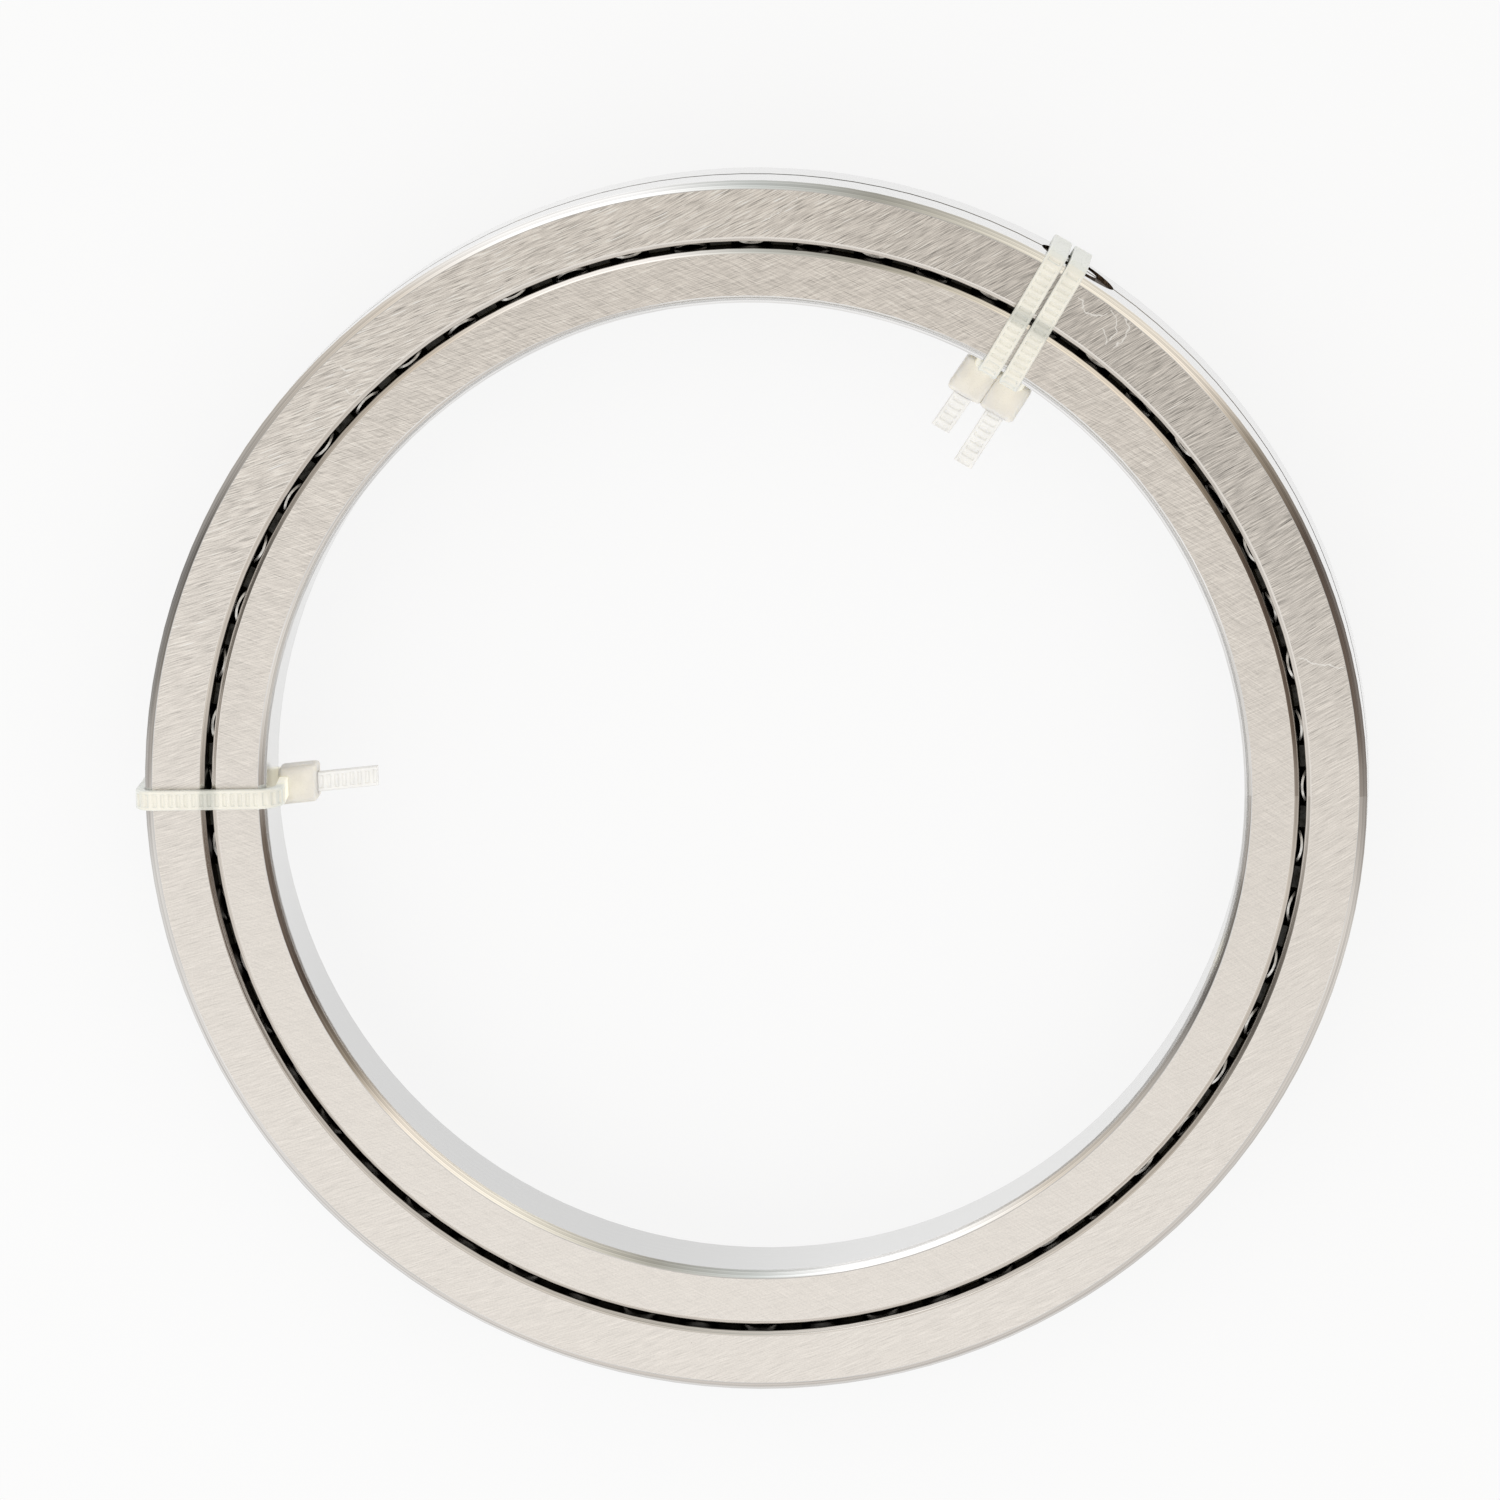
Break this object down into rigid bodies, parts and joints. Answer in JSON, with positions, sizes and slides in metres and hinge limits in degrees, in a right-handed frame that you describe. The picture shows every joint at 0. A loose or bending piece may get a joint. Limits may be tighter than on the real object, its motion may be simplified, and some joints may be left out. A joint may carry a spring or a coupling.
{
  "type": "crossed roller bearing",
  "caption": "Thin crossed roller bearing: one-piece inner ring turning in a split outer ring on short rollers that lean in and out in turn, parted by spacers.",
  "frame": {"origin": "centre of the bearing: on its axis, at mid-width, on the plane where the outer ring is split", "axes": "+Z along the bearing axis, out of the front face; +X to the right and +Y up as the picture shows the front"},
  "size_m": [0.15, 0.15, 0.016],
  "materials": {
    "ring_steel": "ground bearing steel, satin",
    "roller_steel": "fine ground and polished",
    "spacer_resin": "moulded resin, oiled"
  },
  "bodies": {
    "outer_ring": {"outer_ring_front": "ring_steel", "outer_ring_rear": "ring_steel"},
    "inner_ring": {"inner_ring": "ring_steel"},
    "roller_set": {"spacers": "spacer_resin"},
    "roller_01": {"roller_01": "roller_steel"},
    "roller_02": {"roller_02": "roller_steel"},
    "roller_03": {"roller_03": "roller_steel"},
    "roller_04": {"roller_04": "roller_steel"},
    "roller_05": {"roller_05": "roller_steel"},
    "roller_06": {"roller_06": "roller_steel"},
    "roller_07": {"roller_07": "roller_steel"},
    "roller_08": {"roller_08": "roller_steel"},
    "roller_09": {"roller_09": "roller_steel"},
    "roller_10": {"roller_10": "roller_steel"},
    "roller_11": {"roller_11": "roller_steel"},
    "roller_12": {"roller_12": "roller_steel"},
    "roller_13": {"roller_13": "roller_steel"},
    "roller_14": {"roller_14": "roller_steel"},
    "roller_15": {"roller_15": "roller_steel"},
    "roller_16": {"roller_16": "roller_steel"},
    "roller_17": {"roller_17": "roller_steel"},
    "roller_18": {"roller_18": "roller_steel"},
    "roller_19": {"roller_19": "roller_steel"},
    "roller_20": {"roller_20": "roller_steel"},
    "roller_21": {"roller_21": "roller_steel"},
    "roller_22": {"roller_22": "roller_steel"},
    "roller_23": {"roller_23": "roller_steel"},
    "roller_24": {"roller_24": "roller_steel"},
    "roller_25": {"roller_25": "roller_steel"},
    "roller_26": {"roller_26": "roller_steel"},
    "roller_27": {"roller_27": "roller_steel"},
    "roller_28": {"roller_28": "roller_steel"},
    "roller_29": {"roller_29": "roller_steel"},
    "roller_30": {"roller_30": "roller_steel"},
    "roller_31": {"roller_31": "roller_steel"},
    "roller_32": {"roller_32": "roller_steel"},
    "roller_33": {"roller_33": "roller_steel"},
    "roller_34": {"roller_34": "roller_steel"},
    "roller_35": {"roller_35": "roller_steel"},
    "roller_36": {"roller_36": "roller_steel"},
    "roller_37": {"roller_37": "roller_steel"},
    "roller_38": {"roller_38": "roller_steel"},
    "roller_39": {"roller_39": "roller_steel"},
    "roller_40": {"roller_40": "roller_steel"},
    "roller_41": {"roller_41": "roller_steel"},
    "roller_42": {"roller_42": "roller_steel"},
    "roller_43": {"roller_43": "roller_steel"},
    "roller_44": {"roller_44": "roller_steel"},
    "roller_45": {"roller_45": "roller_steel"},
    "roller_46": {"roller_46": "roller_steel"},
    "roller_47": {"roller_47": "roller_steel"},
    "roller_48": {"roller_48": "roller_steel"},
    "roller_49": {"roller_49": "roller_steel"},
    "roller_50": {"roller_50": "roller_steel"},
    "roller_51": {"roller_51": "roller_steel"},
    "roller_52": {"roller_52": "roller_steel"},
    "roller_53": {"roller_53": "roller_steel"},
    "roller_54": {"roller_54": "roller_steel"},
    "roller_55": {"roller_55": "roller_steel"},
    "roller_56": {"roller_56": "roller_steel"}
  },
  "joints": [
    {"name": "inner_spin", "type": "hinge", "parent": "outer_ring", "child": "inner_ring", "pos_m": [0, 0, 0], "axis": [0, 0, 1], "continuous": true},
    {"name": "roller_orbit", "type": "hinge", "parent": "outer_ring", "child": "roller_set", "pos_m": [0, 0, 0], "axis": [0, 0, 1], "continuous": true},
    {"name": "roller_01_spin", "type": "hinge", "parent": "roller_set", "child": "roller_01", "pos_m": [0.06715, 0.00059, 0], "axis": [0.7071, 0.0062, 0.7071], "continuous": true},
    {"name": "roller_02_spin", "type": "hinge", "parent": "roller_set", "child": "roller_02", "pos_m": [0.06666, 0.0081, 0], "axis": [-0.7019, -0.0853, 0.7071], "continuous": true},
    {"name": "roller_03_spin", "type": "hinge", "parent": "roller_set", "child": "roller_03", "pos_m": [0.06533, 0.01551, 0], "axis": [0.688, 0.1634, 0.7071], "continuous": true},
    {"name": "roller_04_spin", "type": "hinge", "parent": "roller_set", "child": "roller_04", "pos_m": [0.06319, 0.02273, 0], "axis": [-0.6654, -0.2394, 0.7071], "continuous": true},
    {"name": "roller_05_spin", "type": "hinge", "parent": "roller_set", "child": "roller_05", "pos_m": [0.06024, 0.02966, 0], "axis": [0.6344, 0.3123, 0.7071], "continuous": true},
    {"name": "roller_06_spin", "type": "hinge", "parent": "roller_set", "child": "roller_06", "pos_m": [0.05654, 0.03622, 0], "axis": [-0.5954, -0.3814, 0.7071], "continuous": true},
    {"name": "roller_07_spin", "type": "hinge", "parent": "roller_set", "child": "roller_07", "pos_m": [0.05213, 0.04232, 0], "axis": [0.549, 0.4457, 0.7071], "continuous": true},
    {"name": "roller_08_spin", "type": "hinge", "parent": "roller_set", "child": "roller_08", "pos_m": [0.04707, 0.04789, 0], "axis": [-0.4956, -0.5043, 0.7071], "continuous": true},
    {"name": "roller_09_spin", "type": "hinge", "parent": "roller_set", "child": "roller_09", "pos_m": [0.04141, 0.05286, 0], "axis": [0.436, 0.5567, 0.7071], "continuous": true},
    {"name": "roller_10_spin", "type": "hinge", "parent": "roller_set", "child": "roller_10", "pos_m": [0.03523, 0.05717, 0], "axis": [-0.371, -0.602, 0.7071], "continuous": true},
    {"name": "roller_11_spin", "type": "hinge", "parent": "roller_set", "child": "roller_11", "pos_m": [0.02861, 0.06075, 0], "axis": [0.3012, 0.6397, 0.7071], "continuous": true},
    {"name": "roller_12_spin", "type": "hinge", "parent": "roller_set", "child": "roller_12", "pos_m": [0.02162, 0.06357, 0], "axis": [-0.2277, -0.6694, 0.7071], "continuous": true},
    {"name": "roller_13_spin", "type": "hinge", "parent": "roller_set", "child": "roller_13", "pos_m": [0.01437, 0.06559, 0], "axis": [0.1513, 0.6907, 0.7071], "continuous": true},
    {"name": "roller_14_spin", "type": "hinge", "parent": "roller_set", "child": "roller_14", "pos_m": [0.00694, 0.06679, 0], "axis": [-0.073, -0.7033, 0.7071], "continuous": true},
    {"name": "roller_15_spin", "type": "hinge", "parent": "roller_set", "child": "roller_15", "pos_m": [-0.00059, 0.06715, 0], "axis": [-0.0062, 0.7071, 0.7071], "continuous": true},
    {"name": "roller_16_spin", "type": "hinge", "parent": "roller_set", "child": "roller_16", "pos_m": [-0.0081, 0.06666, 0], "axis": [0.0853, -0.7019, 0.7071], "continuous": true},
    {"name": "roller_17_spin", "type": "hinge", "parent": "roller_set", "child": "roller_17", "pos_m": [-0.01551, 0.06533, 0], "axis": [-0.1634, 0.688, 0.7071], "continuous": true},
    {"name": "roller_18_spin", "type": "hinge", "parent": "roller_set", "child": "roller_18", "pos_m": [-0.02273, 0.06319, 0], "axis": [0.2394, -0.6654, 0.7071], "continuous": true},
    {"name": "roller_19_spin", "type": "hinge", "parent": "roller_set", "child": "roller_19", "pos_m": [-0.02966, 0.06024, 0], "axis": [-0.3123, 0.6344, 0.7071], "continuous": true},
    {"name": "roller_20_spin", "type": "hinge", "parent": "roller_set", "child": "roller_20", "pos_m": [-0.03622, 0.05654, 0], "axis": [0.3814, -0.5954, 0.7071], "continuous": true},
    {"name": "roller_21_spin", "type": "hinge", "parent": "roller_set", "child": "roller_21", "pos_m": [-0.04232, 0.05213, 0], "axis": [-0.4457, 0.549, 0.7071], "continuous": true},
    {"name": "roller_22_spin", "type": "hinge", "parent": "roller_set", "child": "roller_22", "pos_m": [-0.04789, 0.04707, 0], "axis": [0.5043, -0.4956, 0.7071], "continuous": true},
    {"name": "roller_23_spin", "type": "hinge", "parent": "roller_set", "child": "roller_23", "pos_m": [-0.05286, 0.04141, 0], "axis": [-0.5567, 0.436, 0.7071], "continuous": true},
    {"name": "roller_24_spin", "type": "hinge", "parent": "roller_set", "child": "roller_24", "pos_m": [-0.05717, 0.03523, 0], "axis": [0.602, -0.371, 0.7071], "continuous": true},
    {"name": "roller_25_spin", "type": "hinge", "parent": "roller_set", "child": "roller_25", "pos_m": [-0.06075, 0.02861, 0], "axis": [-0.6397, 0.3012, 0.7071], "continuous": true},
    {"name": "roller_26_spin", "type": "hinge", "parent": "roller_set", "child": "roller_26", "pos_m": [-0.06357, 0.02162, 0], "axis": [0.6694, -0.2277, 0.7071], "continuous": true},
    {"name": "roller_27_spin", "type": "hinge", "parent": "roller_set", "child": "roller_27", "pos_m": [-0.06559, 0.01437, 0], "axis": [-0.6907, 0.1513, 0.7071], "continuous": true},
    {"name": "roller_28_spin", "type": "hinge", "parent": "roller_set", "child": "roller_28", "pos_m": [-0.06679, 0.00694, 0], "axis": [0.7033, -0.073, 0.7071], "continuous": true},
    {"name": "roller_29_spin", "type": "hinge", "parent": "roller_set", "child": "roller_29", "pos_m": [-0.06715, -0.00059, 0], "axis": [-0.7071, -0.0062, 0.7071], "continuous": true},
    {"name": "roller_30_spin", "type": "hinge", "parent": "roller_set", "child": "roller_30", "pos_m": [-0.06666, -0.0081, 0], "axis": [0.7019, 0.0853, 0.7071], "continuous": true},
    {"name": "roller_31_spin", "type": "hinge", "parent": "roller_set", "child": "roller_31", "pos_m": [-0.06533, -0.01551, 0], "axis": [-0.688, -0.1634, 0.7071], "continuous": true},
    {"name": "roller_32_spin", "type": "hinge", "parent": "roller_set", "child": "roller_32", "pos_m": [-0.06319, -0.02273, 0], "axis": [0.6654, 0.2394, 0.7071], "continuous": true},
    {"name": "roller_33_spin", "type": "hinge", "parent": "roller_set", "child": "roller_33", "pos_m": [-0.06024, -0.02966, 0], "axis": [-0.6344, -0.3123, 0.7071], "continuous": true},
    {"name": "roller_34_spin", "type": "hinge", "parent": "roller_set", "child": "roller_34", "pos_m": [-0.05654, -0.03622, 0], "axis": [0.5954, 0.3814, 0.7071], "continuous": true},
    {"name": "roller_35_spin", "type": "hinge", "parent": "roller_set", "child": "roller_35", "pos_m": [-0.05213, -0.04232, 0], "axis": [-0.549, -0.4457, 0.7071], "continuous": true},
    {"name": "roller_36_spin", "type": "hinge", "parent": "roller_set", "child": "roller_36", "pos_m": [-0.04707, -0.04789, 0], "axis": [0.4956, 0.5043, 0.7071], "continuous": true},
    {"name": "roller_37_spin", "type": "hinge", "parent": "roller_set", "child": "roller_37", "pos_m": [-0.04141, -0.05286, 0], "axis": [-0.436, -0.5567, 0.7071], "continuous": true},
    {"name": "roller_38_spin", "type": "hinge", "parent": "roller_set", "child": "roller_38", "pos_m": [-0.03523, -0.05717, 0], "axis": [0.371, 0.602, 0.7071], "continuous": true},
    {"name": "roller_39_spin", "type": "hinge", "parent": "roller_set", "child": "roller_39", "pos_m": [-0.02861, -0.06075, 0], "axis": [-0.3012, -0.6397, 0.7071], "continuous": true},
    {"name": "roller_40_spin", "type": "hinge", "parent": "roller_set", "child": "roller_40", "pos_m": [-0.02162, -0.06357, 0], "axis": [0.2277, 0.6694, 0.7071], "continuous": true},
    {"name": "roller_41_spin", "type": "hinge", "parent": "roller_set", "child": "roller_41", "pos_m": [-0.01437, -0.06559, 0], "axis": [-0.1513, -0.6907, 0.7071], "continuous": true},
    {"name": "roller_42_spin", "type": "hinge", "parent": "roller_set", "child": "roller_42", "pos_m": [-0.00694, -0.06679, 0], "axis": [0.073, 0.7033, 0.7071], "continuous": true},
    {"name": "roller_43_spin", "type": "hinge", "parent": "roller_set", "child": "roller_43", "pos_m": [0.00059, -0.06715, 0], "axis": [0.0062, -0.7071, 0.7071], "continuous": true},
    {"name": "roller_44_spin", "type": "hinge", "parent": "roller_set", "child": "roller_44", "pos_m": [0.0081, -0.06666, 0], "axis": [-0.0853, 0.7019, 0.7071], "continuous": true},
    {"name": "roller_45_spin", "type": "hinge", "parent": "roller_set", "child": "roller_45", "pos_m": [0.01551, -0.06533, 0], "axis": [0.1634, -0.688, 0.7071], "continuous": true},
    {"name": "roller_46_spin", "type": "hinge", "parent": "roller_set", "child": "roller_46", "pos_m": [0.02273, -0.06319, 0], "axis": [-0.2394, 0.6654, 0.7071], "continuous": true},
    {"name": "roller_47_spin", "type": "hinge", "parent": "roller_set", "child": "roller_47", "pos_m": [0.02966, -0.06024, 0], "axis": [0.3123, -0.6344, 0.7071], "continuous": true},
    {"name": "roller_48_spin", "type": "hinge", "parent": "roller_set", "child": "roller_48", "pos_m": [0.03622, -0.05654, 0], "axis": [-0.3814, 0.5954, 0.7071], "continuous": true},
    {"name": "roller_49_spin", "type": "hinge", "parent": "roller_set", "child": "roller_49", "pos_m": [0.04232, -0.05213, 0], "axis": [0.4457, -0.549, 0.7071], "continuous": true},
    {"name": "roller_50_spin", "type": "hinge", "parent": "roller_set", "child": "roller_50", "pos_m": [0.04789, -0.04707, 0], "axis": [-0.5043, 0.4956, 0.7071], "continuous": true},
    {"name": "roller_51_spin", "type": "hinge", "parent": "roller_set", "child": "roller_51", "pos_m": [0.05286, -0.04141, 0], "axis": [0.5567, -0.436, 0.7071], "continuous": true},
    {"name": "roller_52_spin", "type": "hinge", "parent": "roller_set", "child": "roller_52", "pos_m": [0.05717, -0.03523, 0], "axis": [-0.602, 0.371, 0.7071], "continuous": true},
    {"name": "roller_53_spin", "type": "hinge", "parent": "roller_set", "child": "roller_53", "pos_m": [0.06075, -0.02861, 0], "axis": [0.6397, -0.3012, 0.7071], "continuous": true},
    {"name": "roller_54_spin", "type": "hinge", "parent": "roller_set", "child": "roller_54", "pos_m": [0.06357, -0.02162, 0], "axis": [-0.6694, 0.2277, 0.7071], "continuous": true},
    {"name": "roller_55_spin", "type": "hinge", "parent": "roller_set", "child": "roller_55", "pos_m": [0.06559, -0.01437, 0], "axis": [0.6907, -0.1513, 0.7071], "continuous": true},
    {"name": "roller_56_spin", "type": "hinge", "parent": "roller_set", "child": "roller_56", "pos_m": [0.06679, -0.00694, 0], "axis": [-0.7033, 0.073, 0.7071], "continuous": true}
  ],
  "couplings": [
    {"joint": "roller_orbit", "follows": "inner_spin", "ratio": 0.4842},
    {"joint": "roller_01_spin", "follows": "inner_spin", "ratio": -11.18},
    {"joint": "roller_02_spin", "follows": "inner_spin", "ratio": -11.18},
    {"joint": "roller_03_spin", "follows": "inner_spin", "ratio": -11.18},
    {"joint": "roller_04_spin", "follows": "inner_spin", "ratio": -11.18},
    {"joint": "roller_05_spin", "follows": "inner_spin", "ratio": -11.18},
    {"joint": "roller_06_spin", "follows": "inner_spin", "ratio": -11.18},
    {"joint": "roller_07_spin", "follows": "inner_spin", "ratio": -11.18},
    {"joint": "roller_08_spin", "follows": "inner_spin", "ratio": -11.18},
    {"joint": "roller_09_spin", "follows": "inner_spin", "ratio": -11.18},
    {"joint": "roller_10_spin", "follows": "inner_spin", "ratio": -11.18},
    {"joint": "roller_11_spin", "follows": "inner_spin", "ratio": -11.18},
    {"joint": "roller_12_spin", "follows": "inner_spin", "ratio": -11.18},
    {"joint": "roller_13_spin", "follows": "inner_spin", "ratio": -11.18},
    {"joint": "roller_14_spin", "follows": "inner_spin", "ratio": -11.18},
    {"joint": "roller_15_spin", "follows": "inner_spin", "ratio": -11.18},
    {"joint": "roller_16_spin", "follows": "inner_spin", "ratio": -11.18},
    {"joint": "roller_17_spin", "follows": "inner_spin", "ratio": -11.18},
    {"joint": "roller_18_spin", "follows": "inner_spin", "ratio": -11.18},
    {"joint": "roller_19_spin", "follows": "inner_spin", "ratio": -11.18},
    {"joint": "roller_20_spin", "follows": "inner_spin", "ratio": -11.18},
    {"joint": "roller_21_spin", "follows": "inner_spin", "ratio": -11.18},
    {"joint": "roller_22_spin", "follows": "inner_spin", "ratio": -11.18},
    {"joint": "roller_23_spin", "follows": "inner_spin", "ratio": -11.18},
    {"joint": "roller_24_spin", "follows": "inner_spin", "ratio": -11.18},
    {"joint": "roller_25_spin", "follows": "inner_spin", "ratio": -11.18},
    {"joint": "roller_26_spin", "follows": "inner_spin", "ratio": -11.18},
    {"joint": "roller_27_spin", "follows": "inner_spin", "ratio": -11.18},
    {"joint": "roller_28_spin", "follows": "inner_spin", "ratio": -11.18},
    {"joint": "roller_29_spin", "follows": "inner_spin", "ratio": -11.18},
    {"joint": "roller_30_spin", "follows": "inner_spin", "ratio": -11.18},
    {"joint": "roller_31_spin", "follows": "inner_spin", "ratio": -11.18},
    {"joint": "roller_32_spin", "follows": "inner_spin", "ratio": -11.18},
    {"joint": "roller_33_spin", "follows": "inner_spin", "ratio": -11.18},
    {"joint": "roller_34_spin", "follows": "inner_spin", "ratio": -11.18},
    {"joint": "roller_35_spin", "follows": "inner_spin", "ratio": -11.18},
    {"joint": "roller_36_spin", "follows": "inner_spin", "ratio": -11.18},
    {"joint": "roller_37_spin", "follows": "inner_spin", "ratio": -11.18},
    {"joint": "roller_38_spin", "follows": "inner_spin", "ratio": -11.18},
    {"joint": "roller_39_spin", "follows": "inner_spin", "ratio": -11.18},
    {"joint": "roller_40_spin", "follows": "inner_spin", "ratio": -11.18},
    {"joint": "roller_41_spin", "follows": "inner_spin", "ratio": -11.18},
    {"joint": "roller_42_spin", "follows": "inner_spin", "ratio": -11.18},
    {"joint": "roller_43_spin", "follows": "inner_spin", "ratio": -11.18},
    {"joint": "roller_44_spin", "follows": "inner_spin", "ratio": -11.18},
    {"joint": "roller_45_spin", "follows": "inner_spin", "ratio": -11.18},
    {"joint": "roller_46_spin", "follows": "inner_spin", "ratio": -11.18},
    {"joint": "roller_47_spin", "follows": "inner_spin", "ratio": -11.18},
    {"joint": "roller_48_spin", "follows": "inner_spin", "ratio": -11.18},
    {"joint": "roller_49_spin", "follows": "inner_spin", "ratio": -11.18},
    {"joint": "roller_50_spin", "follows": "inner_spin", "ratio": -11.18},
    {"joint": "roller_51_spin", "follows": "inner_spin", "ratio": -11.18},
    {"joint": "roller_52_spin", "follows": "inner_spin", "ratio": -11.18},
    {"joint": "roller_53_spin", "follows": "inner_spin", "ratio": -11.18},
    {"joint": "roller_54_spin", "follows": "inner_spin", "ratio": -11.18},
    {"joint": "roller_55_spin", "follows": "inner_spin", "ratio": -11.18},
    {"joint": "roller_56_spin", "follows": "inner_spin", "ratio": -11.18}
  ]
}
